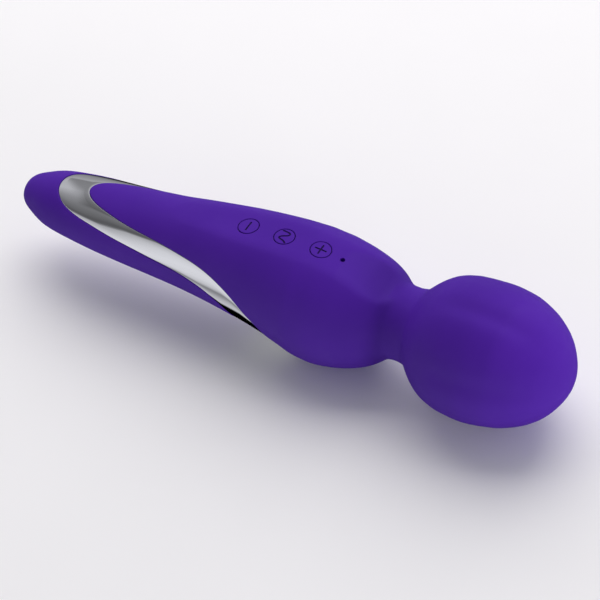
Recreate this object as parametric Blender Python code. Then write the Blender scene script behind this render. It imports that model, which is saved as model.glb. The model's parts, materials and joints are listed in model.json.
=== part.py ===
"""A cordless handheld wand massager, as an assembly of separate parts.

Lengths below are in millimetres along the wand's own axis and are turned into metres by MM when a mesh is made.
+X runs from the tail to the head, +Z points the way the buttons face, and the wand lies on the plane Z = 0.
"""

import math

import bmesh
import bpy
from mathutils import Matrix, Vector

MM = 0.001

# Driving dimensions
AXIS_HEIGHT = 25.0  # the wand's axis above the surface that it lies on
TAIL_TIP = -105.0
HEAD_TIP = 105.0
COVER_END = 40.0  # where the body cover meets the neck sleeve
CAP_START = 50.0  # where the neck sleeve meets the head cap
GAP = 0.3  # clearance between touching parts
SKIN = 2.2  # thickness of the silicone
CORE_DEPTH = SKIN + GAP  # the rigid shells lie this deep under the outer surface
CORE_WALL = 1.8
CAVITY_DEPTH = CORE_DEPTH + CORE_WALL
TRIM_RECESS = 0.45  # the plated trim lies this deep under the silicone beside it

# The outer shape: station, radius, and how far the section's centre lies above the axis
STATIONS = [
    (-104.4, 3.2, 0.0),
    (-102.5, 5.6, -0.1),
    (-99.0, 7.6, -0.25),
    (-92.0, 10.3, -0.35),
    (-80.0, 12.1, -0.1),
    (-72.0, 12.9, 0.0),
    (-64.0, 13.5, 0.05),
    (-48.0, 14.7, 0.55),
    (-32.0, 16.5, 1.7),
    (-17.0, 18.5, 2.1),
    (-5.0, 20.1, 1.7),
    (5.0, 21.5, 0.6),
    (10.0, 22.1, -0.3),
    (15.0, 22.1, -0.7),
    (22.0, 21.3, -0.8),
    (30.0, 19.5, -0.9),
    (34.0, 18.05, -0.8),
    (37.5, 16.1, -0.6),
    (40.0, 14.15, -0.5),
    (43.0, 12.85, -0.35),
    (45.5, 12.75, -0.3),
    (49.3, 13.55, -0.2),
    (52.5, 16.9, -0.3),
    (58.0, 21.2, -0.4),
    (66.0, 23.85, -0.5),
    (74.0, 24.5, -0.5),
    (82.0, 23.6, -0.3),
    (90.0, 20.75, -0.2),
    (97.0, 15.95, -0.25),
    (102.0, 8.9, -0.2),
    (104.3, 3.6, -0.1),
]
# How much lower than round the section is, along the wand; it is wider by nearly as much
FLATTENING = [(-105.0, 0.09), (-70.0, 0.095), (-38.0, 0.0), (105.0, 0.0)]
WIDENING = 0.88
# The flat panel that holds the buttons: height of its middle line above the axis
PANEL = [
    (-56.0, 18.4),
    (-48.0, 16.7),
    (-42.0, 16.2),
    (-30.0, 17.7),
    (-14.5, 19.55),
    (-0.8, 20.65),
    (7.7, 20.85),
    (13.3, 20.6),
    (20.5, 19.6),
    (26.0, 18.2),
    (30.5, 16.6),
    (35.6, 14.4),
    (40.0, 12.7),
    (43.5, 12.8),
    (50.0, 16.0),
]
BELLY_CENTRE, BELLY_REACH = 17.0, 17.0  # the fuller underside that the wand lies on
BELLY_SIDE, BELLY_UNDER = 0.10, 0.09

# The trim's two edges, seen from the side: distance along the wand, height above the axis
COVER_EDGE = [
    (-80.0, 14.0),
    (-77.7, 11.1),
    (-73.0, 10.8),
    (-63.5, 10.3),
    (-49.2, 10.0),
    (-33.3, 10.0),
    (-21.9, 8.7),
    (-13.2, 5.0),
    (-6.4, -1.1),
    (-0.8, -7.7),
    (5.5, -19.8),
    (9.5, -30.0),
]
TAIL_EDGE = [
    (-91.6, 13.0),
    (-89.6, 9.5),
    (-85.6, 7.9),
    (-77.6, 6.7),
    (-64.2, 5.4),
    (-44.9, 3.8),
    (-34.5, 3.2),
    (-24.8, 1.3),
    (-18.2, -2.5),
    (-14.4, -8.5),
    (-13.0, -14.6),
    (-12.4, -30.0),
]

# Faceting
PROFILE_STEP = 0.25
TIP_RINGS, TIP_REACH = 5, 13.0
RING_SPANS = [(TAIL_TIP + TIP_REACH, 24.0, 11), (24.0, HEAD_TIP - TIP_REACH, 14)]
OUTER_SEGMENTS, INNER_SEGMENTS = 32, 16

# Controls
BUTTONS = {"minus": -14.3, "wave": -0.5, "plus": 13.3}
PAD_RADIUS, PAD_HOLE = 3.5, 3.8
PAD_DEPTH = 1.6
STEM_RADIUS, STEM_HOLE = 2.0, 2.6
CHARGE_HOLE_AT, CHARGE_HOLE = 21.4, 1.0
BOARD_TOP, BOARD_THICK = 11.0, 1.2
BOARD_ENDS, BOARD_HALF_WIDTH = (-24.5, 24.5), 7.5
SWITCH_SIDE, SWITCH_HEIGHT = 4.6, 2.0
PLUNGER_RADIUS, PLUNGER_RISE = 0.9, 0.8
PLUNGER_TRAVEL = 0.5

# Screws
SHELL_SCREWS = {
    "chassis_rear": (-77.0, 0.0),
    "chassis_left": (28.5, 10.5),
    "chassis_right": (28.5, -10.5),
    "head_left": (70.5, 16.0),
    "head_right": (70.5, -16.0),
}
BOARD_SCREWS = {"rear": -21.5, "front": 5.9}
BOSS_RADIUS, SCREW_RADIUS, SCREW_HEAD, SCREW_SEAT = 2.6, 1.0, 1.9, -4.0

# Neck
LIP = 1.5
LIP_HOLE = 7.5
CORE_WAIST, CORE_FLANGE, CORE_BORE = 6.0, 8.6, 3.4
FLANGE_THICK, FLANGE_SETBACK = 2.0, 3.0

# Motor and battery
MOTOR_RADIUS, MOTOR_ENDS = 12.0, (62.0, 84.0)
SHAFT_RADIUS, SHAFT_ENDS = 1.15, (80.0, 94.5)
WEIGHT_RADIUS, WEIGHT_ENDS = 9.0, (86.5, 93.5)
CRADLES = {"rear": (63.0, 17.6), "front": (77.5, 18.2)}
CRADLE_WIDTH = 4.0
CELL_RADIUS, CELL_ENDS, CELL_HEIGHT = 7.1, (-66.0, -16.0), 0.5

LONG = 120.0  # longer and wider than anything that a cutter has to clear


# ---------------------------------------------------------------- curves


def hermite(stations, x):
    """A smooth curve through (position, value) pairs that never overshoots them."""
    xs = [s[0] for s in stations]
    ys = [s[1] for s in stations]
    x = min(max(x, xs[0]), xs[-1])
    rise = [(ys[i + 1] - ys[i]) / (xs[i + 1] - xs[i]) for i in range(len(xs) - 1)]
    slope = [rise[0]]
    for before, after in zip(rise, rise[1:]):
        slope.append(2 * before * after / (before + after) if before * after > 0 else 0.0)
    slope.append(rise[-1])
    i = max(k for k in range(len(xs) - 1) if xs[k] <= x)
    width = xs[i + 1] - xs[i]
    t = (x - xs[i]) / width
    near = (1 + 2 * t) * (1 - t) ** 2 * ys[i] + t * (1 - t) ** 2 * width * slope[i]
    far = t * t * (3 - 2 * t) * ys[i + 1] + t * t * (t - 1) * width * slope[i + 1]
    return near + far


SQUARES = [(TAIL_TIP, 0.0)] + [(x, r * r) for x, r, _ in STATIONS] + [(HEAD_TIP, 0.0)]
CENTRES = [(TAIL_TIP, 0.0)] + [(x, c) for x, _, c in STATIONS] + [(HEAD_TIP, 0.0)]


def radius_at(x):
    return math.sqrt(max(hermite(SQUARES, x), 0.0))


def centre_at(x):
    return hermite(CENTRES, x)


def curve_through(points, steps):
    """A Catmull-Rom curve through the points, with this many steps between each two."""
    padded = [points[0]] + list(points) + [points[-1]]
    made = []
    for a, b, c, d in zip(padded, padded[1:], padded[2:], padded[3:]):
        a, b, c, d = Vector(a), Vector(b), Vector(c), Vector(d)
        for k in range(steps):
            t = k / steps
            made.append(
                b
                + (c - a) * (t / 2)
                + (2 * a - 5 * b + 4 * c - d) * (t * t / 2)
                + (3 * b - a - 3 * c + d) * (t**3 / 2)
            )
    return made + [Vector(points[-1])]


# ---------------------------------------------------------------- the outer shape


def section_point(x, radius, centre, angle, depth):
    """A point of the section at this angle from the top: a flat panel on top, a fuller belly, an oval tail."""
    flat = value_at(FLATTENING, x)
    z = radius * math.cos(angle) * (1 - flat)
    if z < 0:
        fullness = BELLY_SIDE + BELLY_UNDER * math.cos(angle) ** 6
        z *= 1 + fullness * math.exp(-(((x - BELLY_CENTRE) / BELLY_REACH) ** 2))
    height = centre + z
    if PANEL[0][0] < x < PANEL[-1][0]:
        height = min(height, hermite(PANEL, x) - depth)
    return Vector((x, radius * math.sin(angle) * (1 + WIDENING * flat), AXIS_HEIGHT + height))


def ring_stations():
    """Where the rings stand: closer together at the ends and from the belly to the head."""
    stations = [TAIL_TIP, HEAD_TIP]
    for k in range(1, TIP_RINGS + 1):
        inward = TIP_REACH * (1 - math.cos(math.pi / 2 * k / TIP_RINGS))
        stations += [TAIL_TIP + inward, HEAD_TIP - inward]
    for start, end, count in RING_SPANS:
        stations += [start + (end - start) * k / count for k in range(1, count)]
    return sorted(set(stations + [RING_SPANS[0][1]]))


def offset_profile(depth):
    """(x, radius) along the profile moved inwards by depth, square to itself."""
    points = []
    steps = int((HEAD_TIP - TAIL_TIP) / PROFILE_STEP)
    for k in range(1, steps):
        x = TAIL_TIP + k * PROFILE_STEP
        slope = (radius_at(x + PROFILE_STEP / 2) - radius_at(x - PROFILE_STEP / 2)) / PROFILE_STEP
        length = math.hypot(1.0, slope)
        points.append((x + depth * slope / length, radius_at(x) - depth / length))
    return [(TAIL_TIP + depth, 0.0)] + sorted(points) + [(HEAD_TIP - depth, 0.0)]


def layer(depth, start, end):
    """(x, radius, centre) of the rings of the surface that lies this deep under the outer one.

    The rings of every layer stand at the same stations, so that one layer's facets stay clear of the next one's.
    """
    profile = offset_profile(depth)
    straight = HEAD_TIP - TIP_REACH
    stations = []
    for x in ring_stations():
        beyond = max(abs(x) - straight, 0.0)
        stations.append(math.copysign(abs(x) - beyond * depth / TIP_REACH, x))
    start, end = max(start, stations[0]), min(end, stations[-1])
    stations = [start] + [x for x in stations if start + GAP < x < end - GAP] + [end]
    return [(x, value_at(profile, x), centre_at(x)) for x in stations]


def value_at(points, x):
    for (x0, y0), (x1, y1) in zip(points, points[1:]):
        if x0 <= x <= x1:
            return y0 + (y1 - y0) * (x - x0) / max(x1 - x0, 1e-9)
    raise ValueError("outside the curve")


def top_at(x, depth):
    """Height above the axis of the flat top of the surface that lies this deep."""
    return section_point(x, radius_at(x) - depth, centre_at(x), 0.0, depth).z - AXIS_HEIGHT


# ---------------------------------------------------------------- making objects


def clear_scene():
    for old in list(bpy.data.objects):
        bpy.data.objects.remove(old, do_unlink=True)


def finish(paint, colour, roughness, metallic=0.0):
    made = bpy.data.materials.new(paint)
    made.use_nodes = True
    shader = made.node_tree.nodes["Principled BSDF"]
    shader.inputs["Base Color"].default_value = (*colour, 1.0)
    shader.inputs["Roughness"].default_value = roughness
    shader.inputs["Metallic"].default_value = metallic
    return made


def object_from(name, mesh_edit, paint=None):
    """An object whose mesh is this bmesh, shaded smooth with sharp edges. With no paint it is a cutter."""
    bmesh.ops.recalc_face_normals(mesh_edit, faces=mesh_edit.faces)
    mesh = bpy.data.meshes.new(name)
    mesh_edit.to_mesh(mesh)
    mesh_edit.free()
    made = bpy.data.objects.new(name, mesh)
    bpy.context.scene.collection.objects.link(made)
    if paint is None:
        made.hide_render = True
        made.display_type = "WIRE"
    else:
        mesh.materials.append(paint)
        mesh.shade_smooth()
        mesh.set_sharp_from_angle(angle=math.radians(35))
    return made


def at(x, y, height):
    """A point given along the wand, across it, and above its axis, in metres."""
    return Vector((x, y, AXIS_HEIGHT + height)) * MM


def wand_layer(name, depth, start, end, paint=None):
    """The closed solid inside the surface at this depth, between two stations."""
    segments = OUTER_SEGMENTS if depth < SKIN else INNER_SEGMENTS
    edit = bmesh.new()
    rings = []
    for x, radius, centre in layer(depth, start, end):
        if radius < 0.05:
            rings.append([edit.verts.new(Vector((x, 0, AXIS_HEIGHT + centre)) * MM)])
            continue
        angles = [2 * math.pi * k / segments for k in range(segments)]
        rings.append([edit.verts.new(section_point(x, radius, centre, a, depth) * MM) for a in angles])
    for one, two in zip(rings, rings[1:]):
        for k in range(segments):
            after = (k + 1) % segments
            if len(one) == 1:
                edit.faces.new((one[0], two[after], two[k]))
            elif len(two) == 1:
                edit.faces.new((one[k], one[after], two[0]))
            else:
                edit.faces.new((one[k], one[after], two[after], two[k]))
    for ring in (rings[0], rings[-1]):
        if len(ring) > 1:
            edit.faces.new(ring)
    return object_from(name, edit, paint)


def prism(name, outline, half_width):
    """A cutter: an outline seen from the side, in millimetres, extruded to both sides."""
    edit = bmesh.new()
    corners = [edit.verts.new(at(x, -half_width, height)) for x, height in outline]
    face = edit.faces.new(corners)
    pushed = bmesh.ops.extrude_face_region(edit, geom=[face])["geom"]
    moved = [v for v in pushed if isinstance(v, bmesh.types.BMVert)]
    bmesh.ops.translate(edit, verts=moved, vec=Vector((0, 2 * half_width * MM, 0)))
    return object_from(name, edit)


def box(name, low, high, paint=None, bevel=0.0):
    """A box between two corners given along, across and above the axis."""
    edit = bmesh.new()
    bmesh.ops.create_cube(edit, size=1.0)
    size = Vector(high) - Vector(low)
    bmesh.ops.scale(edit, vec=size * MM, verts=edit.verts)
    middle = (Vector(high) + Vector(low)) / 2
    bmesh.ops.translate(edit, vec=at(*middle), verts=edit.verts)
    if bevel:
        bmesh.ops.bevel(edit, geom=edit.edges[:], offset=bevel * MM, segments=1, affect="EDGES")
    return object_from(name, edit, paint)


def rod(name, start, end, radius, paint=None, segments=20, end_radius=None):
    """A cylinder or a cone between two points given along, across and above the axis."""
    first, last = at(*start), at(*end)
    along = last - first
    edit = bmesh.new()
    bmesh.ops.create_cone(
        edit,
        cap_ends=True,
        segments=segments,
        radius1=radius * MM,
        radius2=(radius if end_radius is None else end_radius) * MM,
        depth=along.length,
    )
    turn = along.to_track_quat("Z", "Y").to_matrix().to_4x4()
    bmesh.ops.transform(edit, matrix=Matrix.Translation((first + last) / 2) @ turn, verts=edit.verts)
    return object_from(name, edit, paint)


def turned(name, profile, paint=None, segments=24):
    """A closed ring or disc about the wand's axis, from its (x, radius) outline."""
    edit = bmesh.new()
    corners = [edit.verts.new(at(x, 0, radius)) for x, radius in profile]
    starts_on_axis = profile[0][1] == 0
    ends = corners[1:] if starts_on_axis else corners[1:] + corners[:1]
    rim = [edit.edges.new((a, b)) for a, b in zip(corners, ends)]
    bmesh.ops.spin(
        edit,
        geom=corners + rim,
        cent=at(0, 0, 0),
        axis=(1, 0, 0),
        angle=2 * math.pi,
        steps=segments,
        use_merge=True,
    )
    bmesh.ops.remove_doubles(edit, verts=edit.verts, dist=1e-6)
    return object_from(name, edit, paint)


def lead(name, points, radius, paint):
    """An insulated wire along a smooth curve."""
    line = bpy.data.curves.new(name, "CURVE")
    line.dimensions = "3D"
    line.bevel_depth = radius * MM
    line.bevel_resolution = 1
    line.use_fill_caps = True
    route = curve_through(points, 3)
    spline = line.splines.new("POLY")
    spline.points.add(len(route) - 1)
    for point, (x, y, height) in zip(spline.points, route):
        point.co = (*at(x, y, height), 1.0)
    line.materials.append(paint)
    made = bpy.data.objects.new(name, line)
    bpy.context.scene.collection.objects.link(made)
    return made


def combine(target, tool, operation):
    step = target.modifiers.new(operation.lower(), "BOOLEAN")
    step.operation = operation
    step.solver = "EXACT"
    step.object = tool
    return target


def cut(target, *tools):
    for tool in tools:
        combine(target, tool, "DIFFERENCE")
    return target


def keep(target, tool):
    return combine(target, tool, "INTERSECT")


def join(target, *tools):
    for tool in tools:
        combine(target, tool, "UNION")
    return target


# ---------------------------------------------------------------- the outside


def shifted(edge, distance):
    """An edge curve moved sideways, forwards and up for a positive distance."""
    line = curve_through(edge, 2)
    moved = []
    for k, point in enumerate(line):
        before, after = line[max(k - 1, 0)], line[min(k + 1, len(line) - 1)]
        along = (after - before).normalized()
        moved.append(point + Vector((-along.y, along.x)) * distance)
    return moved


def before_edge(name, edge, distance):
    """Cutter for what lies behind and under an edge."""
    outline = [tuple(p) for p in shifted(edge, distance)]
    return prism(name, outline + [(-LONG, outline[-1][1]), (-LONG, outline[0][1])], LONG / 3)


def after_edge(name, edge, distance):
    """Cutter for what lies ahead of and above an edge."""
    outline = [tuple(p) for p in shifted(edge, distance)]
    first, last = outline[0], outline[-1]
    return prism(name, outline + [(LONG, last[1]), (LONG, LONG / 3), (first[0], LONG / 3)], LONG / 3)


def make_skins(paints):
    skin_bore = wand_layer("skin_bore", SKIN, TAIL_TIP, HEAD_TIP)

    cover = wand_layer("body_cover", 0.0, COVER_EDGE[0][0] - 4, COVER_END, paints["silicone"])
    cut(cover, wand_layer("cover_bore", SKIN, COVER_EDGE[0][0] - 8, COVER_END + 4))
    cut(cover, before_edge("behind_cover_edge", COVER_EDGE, GAP / 2))
    cut(cover, box("under_rest_plane", (-LONG, -LONG, -2 * AXIS_HEIGHT), (LONG, LONG, -AXIS_HEIGHT)))
    for label, x in BUTTONS.items():
        cut(cover, rod(f"pad_hole_{label}", (x, 0, 12), (x, 0, 26), PAD_HOLE, segments=20))
    cut(cover, rod("charge_hole", (CHARGE_HOLE_AT, 0, 12), (CHARGE_HOLE_AT, 0, 26), CHARGE_HOLE, segments=12))

    sleeve = wand_layer("neck_sleeve", 0.0, COVER_END + GAP, CAP_START - GAP, paints["silicone"])
    cut(sleeve, wand_layer("sleeve_bore", SKIN, COVER_END - 4, CAP_START + 4))

    cap = wand_layer("head_cap", 0.0, CAP_START, HEAD_TIP, paints["silicone"])
    cut(cap, wand_layer("cap_bore", SKIN, CAP_START - 4, HEAD_TIP))

    tail = wand_layer("tail_cap", 0.0, TAIL_TIP, TAIL_EDGE[-1][0] + 4, paints["silicone"])
    cut(tail, skin_bore, after_edge("ahead_of_tail_edge", TAIL_EDGE, -GAP / 2))

    trim = wand_layer("trim_ring", TRIM_RECESS, TAIL_EDGE[0][0] - 3, COVER_EDGE[-1][0] + 3, paints["chrome"])
    cut(trim, skin_bore)
    cut(trim, after_edge("ahead_of_trim", COVER_EDGE, -GAP / 2), before_edge("behind_trim", TAIL_EDGE, GAP / 2))


def make_buttons(paints):
    stem_end = BOARD_TOP + SWITCH_HEIGHT + PLUNGER_RISE + GAP
    for label, x in BUTTONS.items():
        pad = rod(f"button_{label}", (x, 0, 12), (x, 0, 26), PAD_RADIUS, paints["silicone"], segments=20)
        keep(pad, wand_layer(f"pad_top_{label}", 0.0, x - 8, x + 8))
        cut(pad, wand_layer(f"pad_under_{label}", PAD_DEPTH, x - 9, x + 9))
        join(pad, rod(f"stem_{label}", (x, 0, stem_end), (x, 0, top_at(x, PAD_DEPTH) + 0.5), STEM_RADIUS, segments=12))


# ---------------------------------------------------------------- the rigid shells


def beyond_split(name, upper):
    """Cutter for what a half shell leaves to the other half, with its share of the gap."""
    low, high = (-LONG, GAP / 2) if upper else (-GAP / 2, LONG)
    return box(name, (-LONG, -LONG, low), (LONG, LONG, high))


def boss(label, x, y, low, high, radius, limit):
    """A post on a shell's wall, trimmed so that it ends inside the wall's thickness."""
    return keep(rod(label, (x, y, low), (x, y, high), radius, segments=12), limit)


def screw_seat(shell_upper, shell_lower, label, limit):
    """Bosses for one screw from below: a clearance hole in the lower shell, a blind one in the upper."""
    x, y = SHELL_SCREWS[label]
    join(shell_lower, boss(f"{label}_boss_low", x, y, -AXIS_HEIGHT, -GAP / 2, BOSS_RADIUS, limit))
    join(shell_upper, boss(f"{label}_boss_high", x, y, GAP / 2, AXIS_HEIGHT, BOSS_RADIUS, limit))
    cut(shell_lower, rod(f"{label}_shank_hole", (x, y, -LONG), (x, y, 1), SCREW_RADIUS + GAP, segments=10))
    cut(shell_lower, rod(f"{label}_head_hole", (x, y, -LONG), (x, y, SCREW_SEAT), SCREW_HEAD + GAP, segments=12))
    cut(shell_upper, rod(f"{label}_pilot_hole", (x, y, -1), (x, y, 5.0), SCREW_RADIUS + GAP, segments=10))


def shell_pair(names, start, end, cavity_start, cavity_end, paint):
    """Two halves of a hollow shell that part at the axis plane."""
    made = []
    for name, upper in zip(names, (True, False)):
        half = wand_layer(name, CORE_DEPTH, start, end, paint)
        cut(half, wand_layer(f"{name}_cavity", CAVITY_DEPTH, cavity_start, cavity_end))
        cut(half, beyond_split(f"{name}_split", upper))
        made.append(half)
    return made


def make_shells(paints):
    lip_start = COVER_END - LIP
    upper, lower = shell_pair(
        ("chassis_upper", "chassis_lower"), TAIL_TIP, COVER_END, TAIL_TIP, lip_start, paints["shell"]
    )
    neck_hole = rod("chassis_neck_hole", (lip_start - 2, 0, 0), (COVER_END + 2, 0, 0), LIP_HOLE, segments=24)
    cut(upper, neck_hole)
    cut(lower, neck_hole)
    for label, x in BUTTONS.items():
        cut(upper, rod(f"stem_hole_{label}", (x, 0, 12), (x, 0, 26), STEM_HOLE, segments=16))
    jack_hole = rod("jack_hole", (CHARGE_HOLE_AT, 0, 12), (CHARGE_HOLE_AT, 0, 26), CHARGE_HOLE + 0.6, segments=16)
    cut(upper, jack_hole)
    limit = wand_layer("boss_limit", CORE_DEPTH + CORE_WALL / 2, TAIL_TIP, HEAD_TIP)
    for label in ("chassis_rear", "chassis_left", "chassis_right"):
        screw_seat(upper, lower, label, limit)
    for label, x in BOARD_SCREWS.items():
        join(upper, boss(f"board_post_{label}", x, 0, BOARD_TOP + GAP, AXIS_HEIGHT, 1.9, limit))
        cut(upper, rod(f"board_pilot_{label}", (x, 0, 10), (x, 0, BOARD_TOP + 2.4), 1.3, segments=10))

    head_upper, head_lower = shell_pair(
        ("head_shell_upper", "head_shell_lower"),
        CAP_START,
        HEAD_TIP,
        CAP_START + LIP,
        HEAD_TIP,
        paints["shell"],
    )
    head_hole = rod("head_neck_hole", (CAP_START - 2, 0, 0), (CAP_START + LIP + 2, 0, 0), LIP_HOLE, segments=24)
    cut(head_upper, head_hole)
    cut(head_lower, head_hole)
    for label in ("head_left", "head_right"):
        screw_seat(head_upper, head_lower, label, limit)


def screw(name, x, y, under_head, tip, paint):
    """A pan-head screw, head down, with a slot."""
    made = rod(name, (x, y, under_head), (x, y, tip), SCREW_RADIUS, paint, segments=10)
    join(made, rod(f"{name}_head", (x, y, under_head - 1.3), (x, y, under_head + 0.2), SCREW_HEAD, segments=12))
    cut(made, box(f"{name}_slot", (x - 3, y - 0.3, under_head - 2.0), (x + 3, y + 0.3, under_head - 0.7)))


def make_screws(paints):
    for label, (x, y) in SHELL_SCREWS.items():
        screw(f"{label}_screw", x, y, SCREW_SEAT - GAP, 4.2, paints["steel"])
    for label, x in BOARD_SCREWS.items():
        screw(f"board_{label}_screw", x, 0.0, BOARD_TOP - BOARD_THICK - GAP, BOARD_TOP + 1.9, paints["steel"])


# ---------------------------------------------------------------- the neck


def make_neck(paints):
    """A soft spool: its flanges sit behind the lips of the two shells, and its waist bends."""
    rear = COVER_END - LIP - FLANGE_SETBACK
    front = CAP_START + LIP + FLANGE_SETBACK
    outline = [
        (rear - FLANGE_THICK, CORE_BORE),
        (rear - FLANGE_THICK, CORE_FLANGE),
        (rear, CORE_FLANGE),
        (rear + 1.0, CORE_WAIST),
        (front - 1.0, CORE_WAIST),
        (front, CORE_FLANGE),
        (front + FLANGE_THICK, CORE_FLANGE),
        (front + FLANGE_THICK, CORE_BORE),
    ]
    turned("neck_core", outline, paints["rubber"])


# ---------------------------------------------------------------- the motor


def make_motor(paints):
    start, end = MOTOR_ENDS
    turned(
        "motor_can",
        [
            (start, 0.0),
            (start, MOTOR_RADIUS),
            (end - 1.0, MOTOR_RADIUS),
            (end, MOTOR_RADIUS - 1.0),
            (end, 3.5),
            (end + 1.5, 3.5),
            (end + 1.5, SHAFT_RADIUS + GAP),
            (SHAFT_ENDS[0] - GAP, SHAFT_RADIUS + GAP),
            (SHAFT_ENDS[0] - GAP, 0.0),
        ],
        paints["steel"],
    )
    turned(
        "motor_endbell",
        [(start - 2.8, 0.0), (start - 2.8, 8.0), (start - GAP, MOTOR_RADIUS - 0.6), (start - GAP, 0.0)],
        paints["black_plastic"],
        segments=20,
    )
    rod("motor_shaft", (SHAFT_ENDS[0], 0, 0), (SHAFT_ENDS[1], 0, 0), SHAFT_RADIUS, paints["steel"], segments=12)
    start, end = WEIGHT_ENDS
    weight = rod("eccentric_weight", (start, 0, 0), (end, 0, 0), WEIGHT_RADIUS, paints["brass"], segments=24)
    cut(weight, box("weight_flat", (start - 5, -20, 2.8), (end + 5, 20, 20)))
    for side, low, high in (("left", 2.8, 20), ("right", -20, -2.8)):
        cut(weight, box(f"weight_shoulder_{side}", (start - 5, low, -1.0), (end + 5, high, 20)))
    cut(weight, rod("weight_bore", (start - 5, 0, 0), (end + 5, 0, 0), SHAFT_RADIUS + GAP, segments=12))
    for name, (x, outer) in CRADLES.items():
        bore = MOTOR_RADIUS + GAP
        outline = [(x, bore), (x, outer), (x + CRADLE_WIDTH, outer), (x + CRADLE_WIDTH, bore)]
        turned(f"motor_cradle_{name}", outline, paints["rubber"], segments=20)


# ---------------------------------------------------------------- battery and electronics


def make_battery(paints):
    start, end = CELL_ENDS
    cell = rod("battery_cell", (start, 0, CELL_HEIGHT), (end, 0, CELL_HEIGHT), CELL_RADIUS, paints["wrap"], segments=24)
    nub = rod("cell_nub", (end - 0.5, 0, CELL_HEIGHT), (end + 0.9, 0, CELL_HEIGHT), 2.6, segments=16)
    join(cell, nub)
    cradle = rod(
        "battery_cradle",
        (start + 4, 0, CELL_HEIGHT),
        (end - 4, 0, CELL_HEIGHT),
        CELL_RADIUS + 1.4,
        paints["black_plastic"],
        segments=24,
    )
    cut(cradle, rod("cradle_bed", (start, 0, CELL_HEIGHT), (end, 0, CELL_HEIGHT), CELL_RADIUS + GAP, segments=24))
    cut(cradle, box("cradle_open_top", (start, -20, CELL_HEIGHT - 2.0), (end, 20, 20)))
    tab_thick = 0.4
    for name, x in (("negative", start - GAP - tab_thick), ("positive", end + 0.9 + GAP)):
        box(
            f"battery_tab_{name}",
            (x, -2.5, CELL_HEIGHT - 3.5),
            (x + tab_thick, 2.5, CELL_HEIGHT + 3.5),
            paints["nickel"],
        )


def make_board(paints):
    low = (BOARD_ENDS[0], -BOARD_HALF_WIDTH, BOARD_TOP - BOARD_THICK)
    high = (BOARD_ENDS[1], BOARD_HALF_WIDTH, BOARD_TOP)
    board = box("main_board", low, high, paints["board"])
    for label, x in BOARD_SCREWS.items():
        cut(board, rod(f"board_hole_{label}", (x, 0, 8), (x, 0, 13), SCREW_RADIUS + GAP, segments=10))
    half = SWITCH_SIDE / 2
    for label, x in BUTTONS.items():
        base = BOARD_TOP + 0.05
        top = BOARD_TOP + SWITCH_HEIGHT
        switch = box(f"switch_{label}", (x - half, -half, base), (x + half, half, top), paints["black_plastic"], bevel=0.3)
        floor = base + 0.3
        cut(switch, rod(f"switch_well_{label}", (x, 0, floor), (x, 0, top + 2), PLUNGER_RADIUS + GAP, segments=12))
        low, high = (x, 0, floor + GAP + PLUNGER_TRAVEL), (x, 0, top + PLUNGER_RISE)
        rod(f"plunger_{label}", low, high, PLUNGER_RADIUS, paints["red_plastic"], segments=12)
    under = BOARD_TOP - BOARD_THICK - 0.05
    box("control_chip", (-12.0, -2.6, under - 1.1), (-6.0, 2.6, under), paints["black_plastic"], bevel=0.15)
    box("charge_coil", (12.0, -3.0, under - 2.6), (18.0, 3.0, under), paints["ferrite"], bevel=0.6)
    jack_top = 15.4
    jack = box(
        "charging_jack",
        (CHARGE_HOLE_AT - 2.9, -2.9, BOARD_TOP + 0.05),
        (CHARGE_HOLE_AT + 2.9, 2.9, jack_top - 1.4),
        paints["black_plastic"],
        bevel=0.3,
    )
    cut(jack, rod("jack_bore", (CHARGE_HOLE_AT, 0, BOARD_TOP + 0.6), (CHARGE_HOLE_AT, 0, 20), 1.4, segments=16))
    join(jack, rod("jack_pin", (CHARGE_HOLE_AT, 0, BOARD_TOP + 0.3), (CHARGE_HOLE_AT, 0, jack_top - 1.8), 0.45, segments=10))


def make_leads(paints):
    """Two wires from the board to the motor through the neck, and two from the cell to the board."""
    wire = 0.55
    under = BOARD_TOP - BOARD_THICK - 1.2
    for name, side, paint in (("red", 1.3, "red_wire"), ("black", -1.3, "black_wire")):
        route = [
            (20.5, side * 2.5, under),
            (25.0, side * 2.2, under - 0.6),
            (30.0, side * 1.3, 2.6),
            (34.5, side, 0.4),
            (45.0, side, 0.0),
            (52.0, side, 0.0),
            (MOTOR_ENDS[0] - 3.2, side, 0.0),
        ]
        lead(f"motor_lead_{name}", route, wire, paints[paint])
    cell_plus = CELL_ENDS[1] + 0.9 + GAP + 0.4 + 0.9
    lead(
        "battery_lead_red",
        [
            (cell_plus, 1.2, CELL_HEIGHT),
            (cell_plus + 0.6, 1.6, 3.0),
            (cell_plus + 1.4, 3.2, 6.3),
            (cell_plus + 2.5, 4.6, under),
        ],
        wire,
        paints["red_wire"],
    )
    cell_minus = CELL_ENDS[0] - GAP - 0.4 - 0.9
    lead(
        "battery_lead_black",
        [
            (cell_minus, -1.2, CELL_HEIGHT),
            (cell_minus - 0.6, -2.4, 3.4),
            (cell_minus + 0.3, -4.3, 6.2),
            (-62.5, -4.5, 6.9),
            (-45.0, -4.5, 7.2),
            (-28.0, -4.7, 7.5),
            (-20.0, -4.8, under),
        ],
        wire,
        paints["black_wire"],
    )


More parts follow.
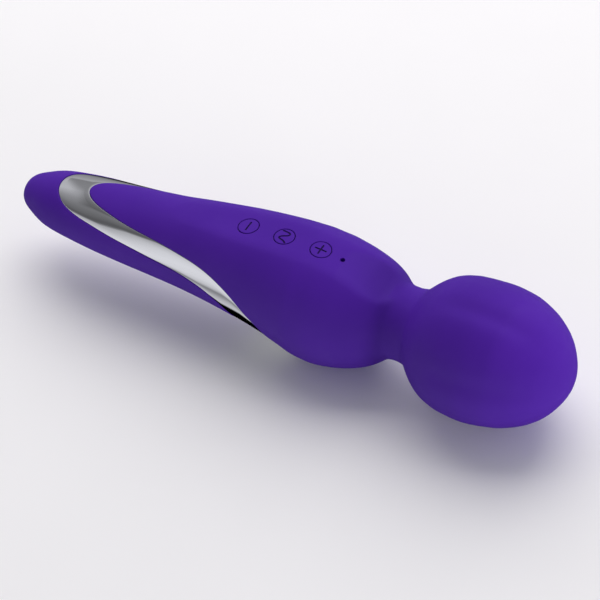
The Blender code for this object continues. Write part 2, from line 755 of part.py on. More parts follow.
def main():
    clear_scene()
    paints = {
        "silicone": finish("violet_silicone", (0.075, 0.018, 0.30), 0.55),
        "chrome": finish("chrome_plate", (0.85, 0.86, 0.87), 0.08, 1.0),
        "shell": finish("white_plastic", (0.75, 0.75, 0.73), 0.45),
        "rubber": finish("grey_rubber", (0.10, 0.10, 0.11), 0.75),
        "steel": finish("bright_steel", (0.62, 0.62, 0.64), 0.28, 1.0),
        "brass": finish("weight_brass", (0.70, 0.52, 0.22), 0.35, 1.0),
        "nickel": finish("nickel_strip", (0.70, 0.69, 0.66), 0.30, 1.0),
        "wrap": finish("cell_wrap", (0.02, 0.16, 0.42), 0.40),
        "board": finish("board_laminate", (0.02, 0.16, 0.06), 0.50),
        "ferrite": finish("ferrite", (0.06, 0.06, 0.065), 0.60),
        "black_plastic": finish("black_plastic", (0.02, 0.02, 0.022), 0.45),
        "red_plastic": finish("red_plastic", (0.45, 0.02, 0.02), 0.40),
        "red_wire": finish("red_insulation", (0.50, 0.02, 0.02), 0.50),
        "black_wire": finish("black_insulation", (0.02, 0.02, 0.02), 0.50),
    }
    make_skins(paints)
    make_buttons(paints)
    make_shells(paints)
    make_screws(paints)
    make_neck(paints)
    make_motor(paints)
    make_battery(paints)
    make_board(paints)
    make_leads(paints)


main()
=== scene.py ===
import json
from math import cos, pi, radians, sin

import bpy
import numpy as np
from mathutils import Matrix, Vector


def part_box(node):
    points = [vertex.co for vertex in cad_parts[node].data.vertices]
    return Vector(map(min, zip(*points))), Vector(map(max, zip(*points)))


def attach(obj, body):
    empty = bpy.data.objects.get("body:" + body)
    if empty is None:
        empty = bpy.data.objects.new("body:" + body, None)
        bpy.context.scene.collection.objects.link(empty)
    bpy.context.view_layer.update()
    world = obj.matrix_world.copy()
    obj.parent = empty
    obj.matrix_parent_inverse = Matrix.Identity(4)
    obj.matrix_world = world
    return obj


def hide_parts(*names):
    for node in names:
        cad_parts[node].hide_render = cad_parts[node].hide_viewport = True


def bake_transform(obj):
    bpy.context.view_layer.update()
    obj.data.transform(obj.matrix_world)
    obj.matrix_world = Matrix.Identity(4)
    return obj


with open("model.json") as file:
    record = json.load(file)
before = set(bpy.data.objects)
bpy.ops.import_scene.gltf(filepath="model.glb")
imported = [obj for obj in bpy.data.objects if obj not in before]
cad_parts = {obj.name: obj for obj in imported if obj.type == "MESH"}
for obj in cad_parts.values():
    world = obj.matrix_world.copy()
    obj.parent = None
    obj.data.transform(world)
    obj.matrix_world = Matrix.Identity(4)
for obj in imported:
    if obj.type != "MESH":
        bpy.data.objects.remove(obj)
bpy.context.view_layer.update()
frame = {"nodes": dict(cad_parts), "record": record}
mm = 0.001
print("frame loaded:", len(frame["nodes"]), "nodes")


# selecting and editing

def editOnly(piece, work, picked=None):
    # enters edit mode on one piece with the picked faces selected, or all, runs the work, and comes back out
    bpy.ops.object.select_all(action="DESELECT")
    piece.select_set(True)
    bpy.context.view_layer.objects.active = piece
    bpy.ops.object.mode_set(mode="EDIT")
    bpy.ops.mesh.select_mode(type="FACE")
    bpy.ops.mesh.select_all(action="DESELECT")
    bpy.ops.object.mode_set(mode="OBJECT")
    for face in piece.data.polygons:
        face.select = picked(face) if picked else True
    bpy.ops.object.mode_set(mode="EDIT")
    work()
    bpy.ops.object.mode_set(mode="OBJECT")


def facing(direction):
    # picks the faces that look this way
    way = Vector(direction)
    return lambda face: face.normal.dot(way) > 0.95


def newPiece(name):
    # names what was just added
    piece = bpy.context.object
    piece.name = name
    piece.data.name = name
    return piece


def settle(piece):
    # the place goes into the mesh, so that the object stands at the origin
    bpy.ops.object.select_all(action="DESELECT")
    piece.select_set(True)
    bpy.context.view_layer.objects.active = piece
    bpy.ops.object.transform_apply(location=True, rotation=True, scale=True)


def applyModifier(piece, kind, **settings):
    bpy.context.view_layer.objects.active = piece
    modifier = piece.modifiers.new(kind.title(), kind)
    for key, value in settings.items():
        setattr(modifier, key, value)
    bpy.ops.object.modifier_apply(modifier=modifier.name)


def carve(piece, cutter):
    # the cut faces keep the cutter's own material; for the stroke cutters that is the painted groove shade
    applyModifier(piece, "BOOLEAN", operation="DIFFERENCE", solver="EXACT", material_mode="TRANSFER", object=cutter)
    bpy.data.objects.remove(cutter)


def smoothShading(piece, degrees):
    bpy.ops.object.select_all(action="DESELECT")
    piece.select_set(True)
    bpy.context.view_layer.objects.active = piece
    bpy.ops.object.shade_smooth_by_angle(angle=radians(degrees))


def cornersOf(piece):
    places = np.empty(len(piece.data.vertices) * 3)
    piece.data.vertices.foreach_get("co", places)
    return places.reshape(-1, 3)


def moveCorners(piece, places):
    piece.data.vertices.foreach_set("co", places.ravel())
    piece.data.update()


# materials

class Wire:
    # one socket of a node tree, with arithmetic on it
    def __init__(self, tree, socket):
        self.tree, self.socket = tree, socket

    def node(self, kind, settings, inputs, output=0):
        made = self.tree.nodes.new(kind)
        for key, value in settings.items():
            if key == "stops":
                ramp = made.color_ramp.elements
                while len(ramp) < len(value):
                    ramp.new(0.5)
                for stop, (place, colour) in zip(ramp, value):
                    stop.position, stop.color = place, (*colour, 1)
            else:
                setattr(made, key, value)
        for key, value in inputs.items():
            if isinstance(value, Wire):
                self.tree.links.new(value.socket, made.inputs[key])
            else:
                made.inputs[key].default_value = value
        return Wire(self.tree, made.outputs[output])

    def math(self, operation, *values):
        return self.node("ShaderNodeMath", {"operation": operation}, dict(enumerate((self, *values))))

    def __add__(self, other):
        return self.math("ADD", other)

    def __sub__(self, other):
        return self.math("SUBTRACT", other)

    def __mul__(self, other):
        return self.math("MULTIPLY", other)

    def __rsub__(self, other):
        return (self * -1.0) + other

    __radd__, __rmul__ = __add__, __mul__

    def noise(self, size, detail=2.0, rough=0.5, stretch=(1, 1, 1)):
        # soft noise from 0 to 1, whose lumps are about this many millimetres across
        where = self.node("ShaderNodeMapping", {}, {"Vector": self, "Scale": stretch})
        return self.node("ShaderNodeTexNoise", {}, {
            "Vector": where, "Scale": 1 / (size * mm), "Detail": detail, "Roughness": rough})

    def between(self, low, high):
        # stretches the part from low to high to 0 to 1, smoothly
        return self.node("ShaderNodeMapRange", {"interpolation_type": "SMOOTHSTEP"},
                         {"Value": self, "From Min": low, "From Max": high})

    def blend(self, first, second):
        # colour by this factor
        return self.node("ShaderNodeMix", {"data_type": "RGBA"},
                         {0: self, 6: (*first, 1) if isinstance(first, tuple) else first,
                          7: (*second, 1) if isinstance(second, tuple) else second}, 2)

    def bump(self, height, strength):
        # this height as relief, in millimetres
        return self.node("ShaderNodeBump", {}, {"Height": self, "Strength": strength, "Distance": height * mm})


def newFinish(name, **fixed):
    # a material with its shader, the fixed values set on it, and the Object coordinates to draw from
    material = bpy.data.materials.new(name)
    material.use_nodes = True
    tree = material.node_tree
    shader = tree.nodes["Principled BSDF"]
    for key, value in fixed.items():
        shader.inputs[key.replace("_", " ")].default_value = value
    place = tree.nodes.new("ShaderNodeTexCoord").outputs["Object"]
    return material, shader, Wire(tree, place)


def feed(shader, **wires):
    for key, wire in wires.items():
        wire.tree.links.new(wire.socket, shader.inputs[key.replace("_", " ")])


silicone = {
    # deep and clear are the silicone's own tones; the third colour is painted shade for the insides of the engraved
    # strokes
    "deep": (0.064, 0.0118, 0.308), "clear": (0.073, 0.0138, 0.336), "strokeShade": (0.018, 0.005, 0.085),
    "roughness": 0.58, "sheen": 0.01, "cloudSize": 26, "grainSize": 0.16, "relief": 0.012,
}


def siliconeFinish(name, deep, clear):
    material, shader, place = newFinish(name, Specular_IOR_Level=0.16, Sheen_Weight=silicone["sheen"],
                                        Sheen_Roughness=0.45, Sheen_Tint=(0.62, 0.45, 1.0, 1))
    cloud = place.noise(silicone["cloudSize"], 3)
    grain = place.noise(silicone["grainSize"], 3, 0.6)
    handled = place.noise(7, 4, 0.62).between(0.42, 0.72)  # where fingers have left it a little smoother
    feed(shader,
         Base_Color=(cloud * 0.7 + grain * 0.3).between(0.3, 0.7).blend(deep, clear),
         Roughness=(1 - handled) * 0.06 + grain * 0.06 + (silicone["roughness"] - 0.06),
         Normal=grain.bump(silicone["relief"], 0.35))
    return material


violet = siliconeFinish("violetSilicone", silicone["deep"], silicone["clear"])
# painted shade: a dark violet for the insides of the engraved strokes, standing in for the shade in the grooves
strokeShadeViolet = siliconeFinish("strokeShadeViolet", silicone["strokeShade"], silicone["strokeShade"])

chromePlate, shader, place = newFinish("chromePlate", Metallic=1.0)
smudge = place.noise(9, 4, 0.6).between(0.45, 0.75)
feed(shader,
     Base_Color=place.noise(30).blend((0.80, 0.80, 0.825), (0.85, 0.85, 0.86)),
     Roughness=smudge * 0.05 + place.noise(0.7, 2) * 0.02 + 0.035,
     Normal=place.noise(14, 1).bump(0.02, 0.15))

# finishes of the pieces inside, by the record's slot

insideFinishes = {
    # slot: colour, second colour, metal, roughness, grain in mm, relief in mm, stretch of the grain
    "white_plastic": ((0.78, 0.78, 0.76), (0.70, 0.70, 0.685), 0, 0.42, 0.35, 0.010, (1, 1, 1)),
    "grey_rubber": ((0.10, 0.10, 0.105), (0.075, 0.075, 0.08), 0, 0.72, 0.30, 0.020, (1, 1, 1)),
    "bright_steel": ((0.62, 0.62, 0.64), (0.50, 0.50, 0.52), 1, 0.26, 0.25, 0.004, (0.08, 1, 1)),
    "weight_brass": ((0.62, 0.42, 0.17), (0.52, 0.33, 0.12), 1, 0.30, 0.30, 0.006, (0.1, 1, 1)),
    "nickel_strip": ((0.66, 0.64, 0.60), (0.56, 0.54, 0.50), 1, 0.24, 0.40, 0.004, (1, 0.1, 1)),
    "cell_wrap": ((0.03, 0.16, 0.34), (0.025, 0.13, 0.28), 0, 0.30, 6.0, 0.015, (0.4, 1, 1)),
    "board_laminate": ((0.015, 0.13, 0.055), (0.025, 0.19, 0.08), 0, 0.38, 0.45, 0.010, (1, 1, 1)),
    "ferrite": ((0.045, 0.045, 0.048), (0.075, 0.072, 0.07), 0, 0.55, 0.20, 0.015, (1, 1, 1)),
    "black_plastic": ((0.018, 0.018, 0.019), (0.028, 0.028, 0.029), 0, 0.40, 0.25, 0.008, (1, 1, 1)),
    "red_plastic": ((0.50, 0.035, 0.03), (0.42, 0.03, 0.025), 0, 0.40, 0.25, 0.008, (1, 1, 1)),
    "red_insulation": ((0.46, 0.02, 0.02), (0.36, 0.015, 0.015), 0, 0.45, 0.80, 0.006, (1, 1, 1)),
    "black_insulation": ((0.02, 0.02, 0.02), (0.035, 0.035, 0.035), 0, 0.45, 0.80, 0.006, (1, 1, 1)),
}
finishOf = {"violet_silicone": violet, "chrome_plate": chromePlate}
for slotName, (colour, second, metal, roughness, size, relief, stretch) in insideFinishes.items():
    material, shader, place = newFinish(slotName, Metallic=float(metal))
    grain = place.noise(size, 3, 0.6, stretch)
    patch = place.noise(size * 9 + 4, 2)
    feed(shader,
         Base_Color=(grain * 0.5 + patch * 0.5).between(0.35, 0.65).blend(second, colour),
         Roughness=grain * 0.10 + patch * 0.10 + (roughness - 0.10),
         Normal=grain.bump(relief, 0.5))
    finishOf[slotName] = material
for part in frame["record"]["subparts"]:
    slots = frame["nodes"][part["node"]].material_slots
    for k in range(len(slots)):
        slots[k].material = finishOf[part["material_slot"]]
print("finishes ready:", len(finishOf) + 1)


# the wand's form, in millimetres along and round its axis

wand = {
    "length": 210.0, "axisHeight": 25.0, "wall": 2.2,
    # along, radius, and how far the section's centre lies above the axis
    "sections": [
        (-104.4, 3.2, 0.0), (-102.5, 5.6, -0.1), (-99.0, 7.6, -0.25), (-92.0, 10.3, -0.35), (-80.0, 12.1, -0.1),
        (-72.0, 12.9, 0.0), (-64.0, 13.5, 0.05), (-48.0, 14.7, 0.55), (-32.0, 16.5, 1.7), (-17.0, 18.5, 2.1),
        (-5.0, 20.1, 1.7), (5.0, 21.5, 0.6), (10.0, 22.1, -0.3), (15.0, 22.1, -0.7), (22.0, 21.3, -0.8),
        (30.0, 19.5, -0.9), (34.0, 18.05, -0.8), (37.5, 16.1, -0.6), (40.0, 14.15, -0.5), (41.6, 13.15, -0.4),
        (43.0, 12.85, -0.35),
        (45.5, 12.75, -0.3), (47.5, 13.05, -0.25), (49.3, 13.55, -0.2), (50.5, 14.75, -0.25), (52.5, 16.9, -0.3),
        (55.0, 19.15, -0.35), (58.0, 21.2, -0.4), (62.0, 22.85, -0.45), (66.0, 23.85, -0.5), (74.0, 24.5, -0.5),
        (82.0, 23.6, -0.3), (90.0, 20.75, -0.2), (97.0, 16.0, -0.25), (100.0, 12.75, -0.2), (102.2, 9.4, -0.2),
        (104.0, 5.75, -0.1), (104.7, 3.15, -0.1),
    ],
    # along, and the height of the flat panel that carries the keys
    "panel": [
        (-56.0, 18.4), (-48.0, 16.7), (-42.0, 16.2), (-36.4, 16.85), (-30.0, 17.7), (-21.5, 18.75), (-14.5, 19.55),
        (-7.6, 20.2), (-0.8, 20.65), (7.7, 20.85), (13.3, 20.6), (20.5, 19.6), (26.0, 18.2), (30.5, 16.6), (35.6, 14.4),
        (38.0, 13.3), (40.0, 12.7), (41.5, 12.6), (43.5, 12.8), (50.0, 16.0),
    ],
    "panelSoftness": 0.8,
    # along, and how much lower than round the section is; it is wider by nearly as much
    "flattening": [(-105.0, 0.09), (-70.0, 0.095), (-38.0, 0.0), (105.0, 0.0)], "widening": 0.88,
    # the fuller belly that the wand lies on
    "bellyAt": 17.0, "bellyReach": 17.0, "bellySide": 0.10, "bellyUnder": 0.09,
    "samples": 4201, "radiusSoftness": 12, "middleSoftness": 60, "flatSoftness": 100,
    # degrees from the top, middle along, reach along, depth, width on the low side and on the high side
    "creases": [(turn - 12.5, 78.0, 17.0, 0.8, 2.5, 2.7) for turn in range(-120, 240, 60)],
}


def curveThrough(points, level=False):
    # a smooth curve through the points that never overshoots them; level ends start and stop flat
    x, y = np.array(points, float).T
    step = np.diff(x)
    rise = np.diff(y) / step
    slope = np.zeros(len(x))
    same = rise[1:] * rise[:-1] > 0
    near, far = 2 * step[1:] + step[:-1], step[1:] + 2 * step[:-1]
    slope[1:-1][same] = ((near + far)[same]
                         / (near[same] / rise[:-1][same] + far[same] / rise[1:][same]))
    if not level:
        slope[0], slope[-1] = rise[0], rise[-1]

    def at(value):
        value = np.clip(value, x[0], x[-1])
        k = np.clip(np.searchsorted(x, value, side="right") - 1, 0, len(step) - 1)
        t = (value - x[k]) / step[k]
        return ((1 + 2 * t) * (1 - t) ** 2 * y[k] + t * (1 - t) ** 2 * step[k] * slope[k]
                + t * t * (3 - 2 * t) * y[k + 1] + t * t * (t - 1) * step[k] * slope[k + 1])

    return at


def softened(values, width, turn="odd"):
    # a moving average with soft ends, width in samples
    reach = int(4 * width)
    weights = np.exp(-0.5 * (np.arange(-reach, reach + 1) / width) ** 2)
    padded = np.pad(values, reach, mode="reflect", reflect_type=turn)
    return np.convolve(padded, weights / weights.sum(), "valid")


tipAt = wand["length"] / 2
even = np.linspace(-tipAt, tipAt, wand["samples"])


def profile(pairs):
    # a curve from tip to tip through these, nothing at both tips
    return curveThrough([(-tipAt, 0)] + list(pairs) + [(tipAt, 0)])(even)


squares = softened(profile((x, r * r) for x, r, _ in wand["sections"]), wand["radiusSoftness"]).clip(0)
middles = softened(profile((x, c) for x, _, c in wand["sections"]), wand["middleSoftness"])
panelTop = curveThrough(wand["panel"])
flatness = softened(np.interp(even, *np.array(wand["flattening"]).T), wand["flatSoftness"], "even")
stations = -tipAt * np.cos(np.linspace(0, pi, 6001))
radii = np.sqrt(np.interp(stations, even, squares))
travels = np.concatenate([[0], np.cumsum(np.hypot(np.diff(stations), np.diff(radii)))])
tipTravel = travels[-1]


def travelTo(x):
    return np.interp(x, stations, travels)


def radiusAt(travel):
    return np.sqrt(np.interp(np.interp(travel, travels, stations), even, squares))


def surfaceAt(travel, angle):
    # the outer skin at a distance travelled along the profile from the tail, and an angle from the top
    travel, angle = np.broadcast_arrays(np.asarray(travel, float), np.asarray(angle, float))
    x = np.interp(travel, travels, stations)
    radius = np.sqrt(np.interp(x, even, squares))
    turn = (angle + pi) % (2 * pi) - pi
    for degrees, middle, reach, depth, low, high in wand["creases"]:
        away = (turn - radians(degrees)) * radius
        width = np.where(away < 0, low, high)
        radius = radius - depth * np.exp(-0.5 * (away / width) ** 2 - ((x - middle) / reach) ** 4)
    flat = np.interp(x, even, flatness)
    z = radius * np.cos(turn) * (1 - flat)
    under = wand["bellySide"] + wand["bellyUnder"] * np.cos(turn) ** 6
    fuller = 1 + under * np.exp(-(((x - wand["bellyAt"]) / wand["bellyReach"]) ** 2))
    z = np.where(z < 0, z * fuller, z) + np.interp(x, even, middles)
    onPanel = (x > wand["panel"][0][0]) & (x < wand["panel"][-1][0])
    panel = np.where(onPanel, panelTop(x), 99.0)
    soft = wand["panelSoftness"]
    near = np.clip(soft - np.abs(z - panel), 0, None) / soft
    z = np.minimum(z, panel) - near * near * soft / 4
    z = np.maximum(z, -wand["axisHeight"])
    y = radius * np.sin(turn) * (1 + wand["widening"] * flat)
    return np.stack([x, y, z + wand["axisHeight"]], axis=-1)


def outwardAt(travel, angle):
    # the outward normal there
    travel, angle = np.broadcast_arrays(np.asarray(travel, float), np.asarray(angle, float))
    held = np.clip(travel, 0.05, tipTravel - 0.05)
    along = surfaceAt(held + 0.04, angle) - surfaceAt(held - 0.04, angle)
    turning = surfaceAt(held, angle + 0.004) - surfaceAt(held, angle - 0.004)
    normal = np.cross(along, turning)
    normal /= np.linalg.norm(normal, axis=-1, keepdims=True)
    normal[travel <= 0] = (-1, 0, 0)
    normal[travel >= tipTravel] = (1, 0, 0)
    return normal


def topAt(x):
    return surfaceAt(travelTo(x), 0.0)[..., 2]


# the seams: degrees from the top, and how far along

seams = {
    "cover": [(0, -77.7), (15, -75.8), (21, -73.5), (25.5, -71.1), (29.5, -68.2), (35, -63.5), (40, -58.6),
              (44, -53.9), (47.5, -49.2), (51, -44.2), (54.5, -39.6), (59, -33.3), (63, -27.3), (68, -21.9),
              (74, -17.4), (81, -13.2), (88, -10.1), (98, -6.4), (105, -3.5), (115, -0.8), (150, 5.5), (180, 8.5)],
    "tail": [(0, -89.6), (15, -89.1), (26, -87.9), (33, -86.6), (43, -83.8), (53, -77.6), (59, -70.5),
             (64.5, -64.2), (72, -53.9), (78, -44.9), (81, -39.6), (84, -34.5), (88, -29.3), (92, -24.8),
             (99, -20.5), (106, -17.6), (124, -14.4), (150, -13.0), (180, -12.6)],
    "columns": 336, "softness": 1.3,
}


def seamLoop(points):
    # one seam as (travel, angle) at evenly spaced columns all the way round
    angle = np.linspace(0, pi, 3001)
    travel = travelTo(curveThrough(points, level=True)(np.degrees(angle)))

    def lengths():
        bent = np.hypot(np.diff(travel), radiusAt((travel[1:] + travel[:-1]) / 2) * np.diff(angle))
        return np.concatenate([[0], np.cumsum(bent)])

    gone = lengths()
    steps = np.linspace(0, gone[-1], 3001)
    travel, angle = np.interp(steps, gone, travel), np.interp(steps, gone, angle)
    width = seams["softness"] / steps[1]
    travel, angle = softened(travel, width, "even"), softened(angle, width)
    gone = lengths()
    half = np.linspace(0, gone[-1], seams["columns"] // 2 + 1)
    travel, angle = np.interp(half, gone, travel), np.interp(half, gone, angle)
    return (np.concatenate([travel, travel[-2:0:-1]]), np.concatenate([angle, 2 * pi - angle[-2:0:-1]]))


def shifted(loop, distance):
    # the seam moved along the surface, towards the head where the distance is positive
    travel, angle = loop
    radius = radiusAt(travel)
    ahead, behind = np.roll(angle, -1), np.roll(angle, 1)
    ahead[-1] += 2 * pi
    behind[0] -= 2 * pi
    along = np.roll(travel, -1) - np.roll(travel, 1)
    across = (ahead - behind) * radius
    size = np.hypot(along, across)
    return travel + distance * across / size, angle - distance * along / size / radius


def levelLoop(travel):
    # straight round the wand
    count = seams["columns"]
    return np.full(count, float(travel)), np.arange(count) * 2 * pi / count


def between(first, second, share):
    return tuple(a + (b - a) * share for a, b in zip(first, second))


coverSeam, tailSeam = seamLoop(seams["cover"]), seamLoop(seams["tail"])


def rounded(loop, side, lip, start, depth, extra, roll=(1.0, 0.0)):
    # rows over a rounded lip and down a wall: from the surface at depth start to the wall's foot;
    # roll is how far in from the seam the surface starts to fall away, and by how much
    reach, drop = roll

    def fallen(distance):
        return start + drop * max(0, 1 - distance / reach) ** 2

    rows = [(*shifted(loop, side * (lip + more)), fallen(lip + more)) for more in extra]
    for k in range(7):
        turn = radians(90 * k / 6)
        inward = lip * (1 - sin(turn))
        rows.append((*shifted(loop, side * inward), fallen(inward) + lip * (1 - cos(turn))))
    top = rows[-1][2]
    rows += [(*loop, top + (depth - top) * k / 4) for k in (1, 2, 3, 4)]
    return rows


def rowsBetween(first, second, count, depth, ends=(0, 1)):
    return [(*between(first, second, ends[0] + (ends[1] - ends[0]) * k / count), depth) for k in range(count + 1)]


def skinOf(name, rows):
    # a grid is added, its rows are laid over the wand, and its meeting edges are merged into a closed skin
    count, columns = len(rows) - 1, seams["columns"]
    bpy.ops.object.select_all(action="DESELECT")
    bpy.ops.mesh.primitive_grid_add(x_subdivisions=columns, y_subdivisions=count, size=1)
    piece = newPiece(name)
    flat = cornersOf(piece)
    column = np.rint((flat[:, 0] + 0.5) * columns).astype(int) % columns
    row = np.rint((flat[:, 1] + 0.5) * count).astype(int)
    travel, angle = np.stack([r[0] for r in rows]), np.stack([r[1] for r in rows])
    depth = np.array([r[2] for r in rows])[:, None, None]
    laid = surfaceAt(travel, angle) - depth * outwardAt(travel, angle)
    moveCorners(piece, laid[row, column] * mm)

    def close():
        bpy.ops.mesh.remove_doubles(threshold=1e-6)
        bpy.ops.mesh.normals_make_consistent(inside=False)

    editOnly(piece, close)
    smoothShading(piece, 42)
    print(name, "laid:", len(piece.data.polygons), "faces")
    return piece


# the violet skins

skins = {
    "lip": 0.35, "clear": 1.6, "seamAt": 45.0, "extra": (1.1, 0.7, 0.4, 0.2),
    "bodyRows": 205, "headRows": 190, "tailRows": 150, "innerRows": 26, "innerSetback": 1.2,
}
lip, wall = skins["lip"], wand["wall"]
neckLoop, headTip, tailTip = levelLoop(travelTo(skins["seamAt"])), levelLoop(tipTravel), levelLoop(0)

bodySkin = skinOf("bodySkin", (
    rowsBetween(neckLoop, shifted(coverSeam, lip + skins["clear"]), skins["bodyRows"], 0)
    + rounded(coverSeam, 1, lip, 0, wall, skins["extra"])
    + rowsBetween(shifted(coverSeam, skins["innerSetback"]), neckLoop, skins["innerRows"], wall)
    + [(*neckLoop, 0)]))

headSkin = skinOf("headSkin", (
    rowsBetween(neckLoop, headTip, skins["headRows"], 0)
    + rowsBetween(headTip, neckLoop, skins["innerRows"], wall)
    + [(*neckLoop, 0)]))

tailSkin = skinOf("tailSkin", (
    rowsBetween(tailTip, shifted(tailSeam, -(lip + skins["clear"])), skins["tailRows"], 0)
    + rounded(tailSeam, -1, lip, 0, wall, skins["extra"])
    + rowsBetween(shifted(tailSeam, -skins["innerSetback"]), tailTip, skins["innerRows"], wall)))

# the plated trim

trim = {
    "gap": 0.05, "sunk": 0.12, "foot": 1.9, "rearLip": 0.25, "frontLip": 0.2, "roll": (2.0, 0.1),
    "extra": (1.6, 1.3, 1.0, 0.75, 0.5, 0.3, 0.14), "rows": 44, "innerRows": 16, "innerSetback": 0.8,
}
trimRear, trimFront = shifted(tailSeam, trim["gap"]), shifted(coverSeam, -trim["gap"])
sunk, foot, reach, inner = trim["sunk"], trim["foot"], trim["roll"][0], trim["innerSetback"]
rear = rounded(trimRear, 1, trim["rearLip"], sunk, foot, trim["extra"], trim["roll"])
front = rounded(trimFront, -1, trim["frontLip"], sunk, foot, trim["extra"], trim["roll"])
trimBand = skinOf("trimBand", (
    rear[::-1]
    + rowsBetween(shifted(trimRear, reach), shifted(trimFront, -reach), trim["rows"], sunk)
    + front
    + rowsBetween(shifted(trimFront, -inner), shifted(trimRear, inner), trim["innerRows"], foot)
    + [rear[-1]]))

# the keys

keys = {
    "at": {"minus": -14.3, "wave": -0.5, "plus": 13.3},
    "padRadius": 3.46, "holeRadius": 3.72, "holeLip": 0.22, "thickness": 1.2, "lip": 0.2, "stem": 1.2, "raised": 0.04,
    "rings": 6, "ringStep": 0.5, "pinAt": 21.4, "pinRadius": 0.85, "pinLip": 0.1,
    "strokeRadius": 0.3, "strokeSunk": 0.02,
    # the strokes of each sign, along and across its pad
    "strokes": {
        "minus": [[(0, -2.1), (0, 2.1)]],
        "plus": [[(-2.15, 0), (2.15, 0)], [(0, -2.15), (0, 2.15)]],
        "wave": [[(-1.8, 2.4), (-0.6, 2.35), (1.0, 2.1), (1.5, 1.5), (1.1, 0.7), (-0.3, 0.2), (-1.5, -0.5),
                  (-1.6, -1.2), (-0.4, -1.55), (0.9, -2.0), (1.7, -2.8)]],
    },
}


def followPanel(piece, x, above=-1e9):
    # everything higher than this moves up or down with the panel's curve
    places = cornersOf(piece) / mm
    lift = topAt(places[:, 0]) - topAt(x)
    places[:, 2] += np.where(places[:, 2] > above, lift, 0)
    moveCorners(piece, places * mm)


def holeCutter(x, radius, lip):
    # a plug that opens out at the top, so that the hole gets a soft rim
    top = float(topAt(x))
    foot = top - 5
    bpy.ops.object.select_all(action="DESELECT")
    bpy.ops.mesh.primitive_cylinder_add(vertices=96, radius=radius * mm, depth=(top - lip - foot) * mm,
                                        location=(x * mm, 0, (top - lip + foot) / 2 * mm))
    plug = newPiece("holeCutter")
    settle(plug)
    now = [radius, top - lip]

    def flare():
        steps = [(radius + lip * (1 - cos(a)), top - lip + lip * sin(a)) for a in map(radians, (20, 40, 58, 72))]
        steps.append((steps[-1][0] + 1.5, steps[-1][1] + 0.55))
        for wide, high in steps:
            bpy.ops.mesh.extrude_region_move(TRANSFORM_OT_translate={"value": (0, 0, (high - now[1]) * mm)})
            bpy.ops.transform.resize(value=(wide / now[0], wide / now[0], 1),
                                     center_override=(x * mm, 0, high * mm))
            now[:] = wide, high

    editOnly(plug, flare, facing((0, 0, 1)))
    followPanel(plug, x)
    return plug


def strokeCutter(x, top, points):
    # a round bar bent along one stroke of a sign; it carries the painted shade, a dark violet, into the groove it cuts
    line = bpy.data.curves.new("stroke", "CURVE")
    line.dimensions = "3D"
    line.bevel_depth = keys["strokeRadius"] * mm
    line.bevel_resolution = 3
    line.use_fill_caps = True
    spline = line.splines.new("NURBS")
    spline.points.add(len(points) - 1)
    for point, (dx, dy) in zip(spline.points, points):
        point.co = ((x + dx) * mm, dy * mm, (top - keys["strokeSunk"]) * mm, 1)
    spline.order_u = min(4, len(points))
    spline.use_endpoint_u = True
    spline.resolution_u = 8
    bar = bpy.data.objects.new("stroke", line)
    bpy.context.scene.collection.objects.link(bar)
    bpy.ops.object.select_all(action="DESELECT")
    bar.select_set(True)
    bpy.context.view_layer.objects.active = bar
    bpy.ops.object.convert(target="MESH")
    bar = newPiece("stroke")
    # painted shade: the groove faces take this dark violet
    bar.data.materials.append(strokeShadeViolet)
    followPanel(bar, x)
    return bar


def makePad(label, x):
    top = float(topAt(x)) + keys["raised"]
    thick, radius = keys["thickness"], keys["padRadius"]
    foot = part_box(f"button_{label}")[0].z / mm
    bpy.ops.object.select_all(action="DESELECT")
    bpy.ops.mesh.primitive_cylinder_add(vertices=96, radius=radius * mm, depth=thick * mm,
                                        location=(x * mm, 0, (top - thick / 2) * mm))
    pad = newPiece(f"{label}Key")
    settle(pad)
    lip = keys["lip"]

    def crown():  # the rounded edge, then rings towards the middle
        for turn in (18, 36, 54, 72, 90):
            last, here = radians(turn - 18), radians(turn)
            bpy.ops.mesh.inset(thickness=lip * (cos(last) - cos(here)) * mm)
            bpy.ops.transform.translate(value=(0, 0, lip * (sin(here) - sin(last)) * mm))
        for _ in range(keys["rings"]):
            bpy.ops.mesh.inset(thickness=keys["ringStep"] * mm)

    def stem():
        bpy.ops.mesh.inset(thickness=(radius - keys["stem"]) * mm)
        bpy.ops.mesh.extrude_region_move(TRANSFORM_OT_translate={"value": (0, 0, (foot - (top - thick)) * mm)})
        bpy.ops.mesh.inset(thickness=0.2 * mm)
        bpy.ops.transform.translate(value=(0, 0, -0.02 * mm))

    places = cornersOf(pad)
    places[:, 2] -= np.where(places[:, 2] > (top - thick / 2) * mm, lip * mm, 0)
    moveCorners(pad, places)
    editOnly(pad, crown, facing((0, 0, 1)))
    editOnly(pad, stem, facing((0, 0, -1)))
    followPanel(pad, x, top - thick - 0.01)
    pad.data.materials.append(violet)
    for points in keys["strokes"][label]:
        carve(pad, strokeCutter(x, top, points))
    return pad


for label, x in keys["at"].items():
    carve(bodySkin, holeCutter(x, keys["holeRadius"], keys["holeLip"]))
carve(bodySkin, holeCutter(keys["pinAt"], keys["pinRadius"], keys["pinLip"]))
smoothShading(bodySkin, 42)
print("holes cut")

for label, x in keys["at"].items():
    pad = makePad(label, x)
    smoothShading(pad, 38)
    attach(pad, f"{label}_key")
    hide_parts(f"button_{label}")
print("keys made")

# where each piece belongs

for piece in (bodySkin, headSkin, tailSkin):
    piece.data.materials.clear()
    piece.data.materials.append(violet)
trimBand.data.materials.append(chromePlate)

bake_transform(bodySkin)
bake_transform(headSkin)
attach(tailSkin, "handle")
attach(trimBand, "handle")
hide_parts("body_cover", "neck_sleeve")
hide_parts("head_cap")
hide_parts("tail_cap")
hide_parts("trim_ring")
print("pieces placed")

# the studio

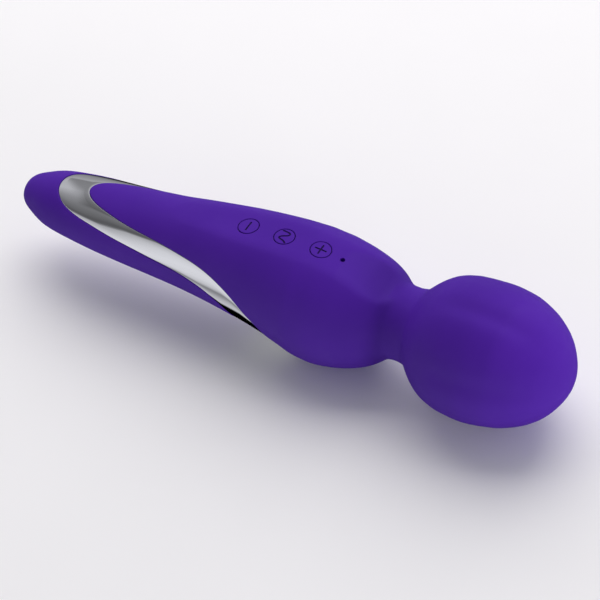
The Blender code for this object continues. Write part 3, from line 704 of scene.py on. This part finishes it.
studio = {
    # the camera: degrees, millimetres, and how far its aim lies right of and above the wand's middle
    "azimuth": 32.77, "elevation": 45.68, "roll": -4.82, "distance": 1000.0, "aim": (3.53, -6.45), "lens": 178.8,
    # long boxes beside the wand: degrees from overhead towards the front, and how bright
    "boxes": [
        (-180, 0.0), (-118, 0.0), (-100, 0.28), (-84, 0.34), (-60, 0.50), (-26, 0.55), (-2, 0.33), (22, 0.20),
        (38, 0.15), (46, 0.11), (52, 0.13), (56, 0.28), (58.5, 0.46), (63, 0.50), (74, 0.63), (88, 0.75), (106, 0.83),
        (121, 0.80), (132, 0.65), (135.5, 0.50), (139.5, 0.26), (144.5, 0.31), (154, 0.51), (165, 0.63), (169, 0.50),
        (172, 0.0), (180, 0.0),
    ],
    "tint": (0.96, 0.97, 1.02), "sky": 1.0,
    # the overhead boxes stand a little apart, which leaves a dimmer gap
    "overhead": ((0.30, 0.32), (0.53, 0.56)), "gap": ((-0.655, -0.605), (-0.54, -0.46)), "gapDepth": 0.5,
}
azimuth, elevation, roll = (radians(studio[k]) for k in ("azimuth", "elevation", "roll"))
back = Vector((sin(azimuth) * cos(elevation), -cos(azimuth) * cos(elevation), sin(elevation)))
level = Vector((cos(azimuth), sin(azimuth), 0))
upright = back.cross(level)
right, up = level * cos(roll) + upright * sin(roll), upright * cos(roll) - level * sin(roll)
camera = bpy.data.objects.new("camera", bpy.data.cameras.new("camera"))
bpy.context.scene.collection.objects.link(camera)
camera.data.lens = studio["lens"]
camera.data.clip_start = 0.01
aim = Vector((0, 0, wand["axisHeight"])) + right * studio["aim"][0] + up * studio["aim"][1]
place = aim + back * studio["distance"]
camera.matrix_world = Matrix.Translation(place * mm) @ Matrix((right, up, back)).transposed().to_4x4()
bpy.context.scene.camera = camera


def addLight(name, place, target, size, watts, colour):
    lamp = bpy.data.lights.new(name, "AREA")
    lamp.shape = "RECTANGLE"
    lamp.size, lamp.size_y = size
    lamp.energy, lamp.color = watts, colour
    made = bpy.data.objects.new(name, lamp)
    bpy.context.scene.collection.objects.link(made)
    made.location = place
    made.rotation_euler = (Vector(target) - Vector(place)).to_track_quat("-Z", "Y").to_euler()
    made.visible_glossy = False


# a broad one overhead from behind, and a low one from the head's end
addLight("key", (-0.30, 0.68, 0.94), (0, 0, 0), (1.5, 1.5), 15.6, (1.0, 0.95, 0.96))
addLight("side", (1.3, -0.15, 0.17), (0.08, 0, 0.025), (0.8, 0.3), 10.5, (1.0, 0.95, 0.97))

world = bpy.data.worlds.new("studio")
bpy.context.scene.world = world
world.use_nodes = True
sky = world.node_tree.nodes["Background"]
direction = Wire(world.node_tree, world.node_tree.nodes.new("ShaderNodeTexCoord").outputs["Generated"])
along, across, height = (direction.node("ShaderNodeSeparateXYZ", {}, {"Vector": direction}, k) for k in range(3))
fromOverhead = (across * -1.0).math("ARCTAN2", height) * (0.5 / pi) + 0.5
glow = fromOverhead.node("ShaderNodeValToRGB", {"stops": [
    (0.5 + angle / 360, tuple(bright * share for share in studio["tint"])) for angle, bright in studio["boxes"]]},
    {"Fac": fromOverhead})
opens, closes = studio["overhead"]
overhead = fromOverhead.between(*opens) * (1 - fromOverhead.between(*closes))
starts, ends = studio["gap"]
gap = along.between(*starts) * (1 - along.between(*ends)) * overhead
dimmed = (gap * studio["gapDepth"]).blend(glow, (0, 0, 0))
world.node_tree.links.new(dimmed.socket, sky.inputs["Color"])
sky.inputs["Strength"].default_value = studio["sky"]

bpy.ops.object.select_all(action="DESELECT")
bpy.ops.mesh.primitive_plane_add(size=6, location=(0, 0, -0.0002))
floor = newPiece("floor")
settle(floor)
paper, shader, place = newFinish("palePaper", Roughness=0.9, Specular_IOR_Level=0.1)
feed(shader, Base_Color=place.noise(40, 3).blend((0.90, 0.91, 0.91), (0.92, 0.93, 0.93)))
floor.data.materials.append(paper)
floor.visible_glossy = False
bpy.context.scene.view_settings.view_transform = "Standard"
print("studio ready")
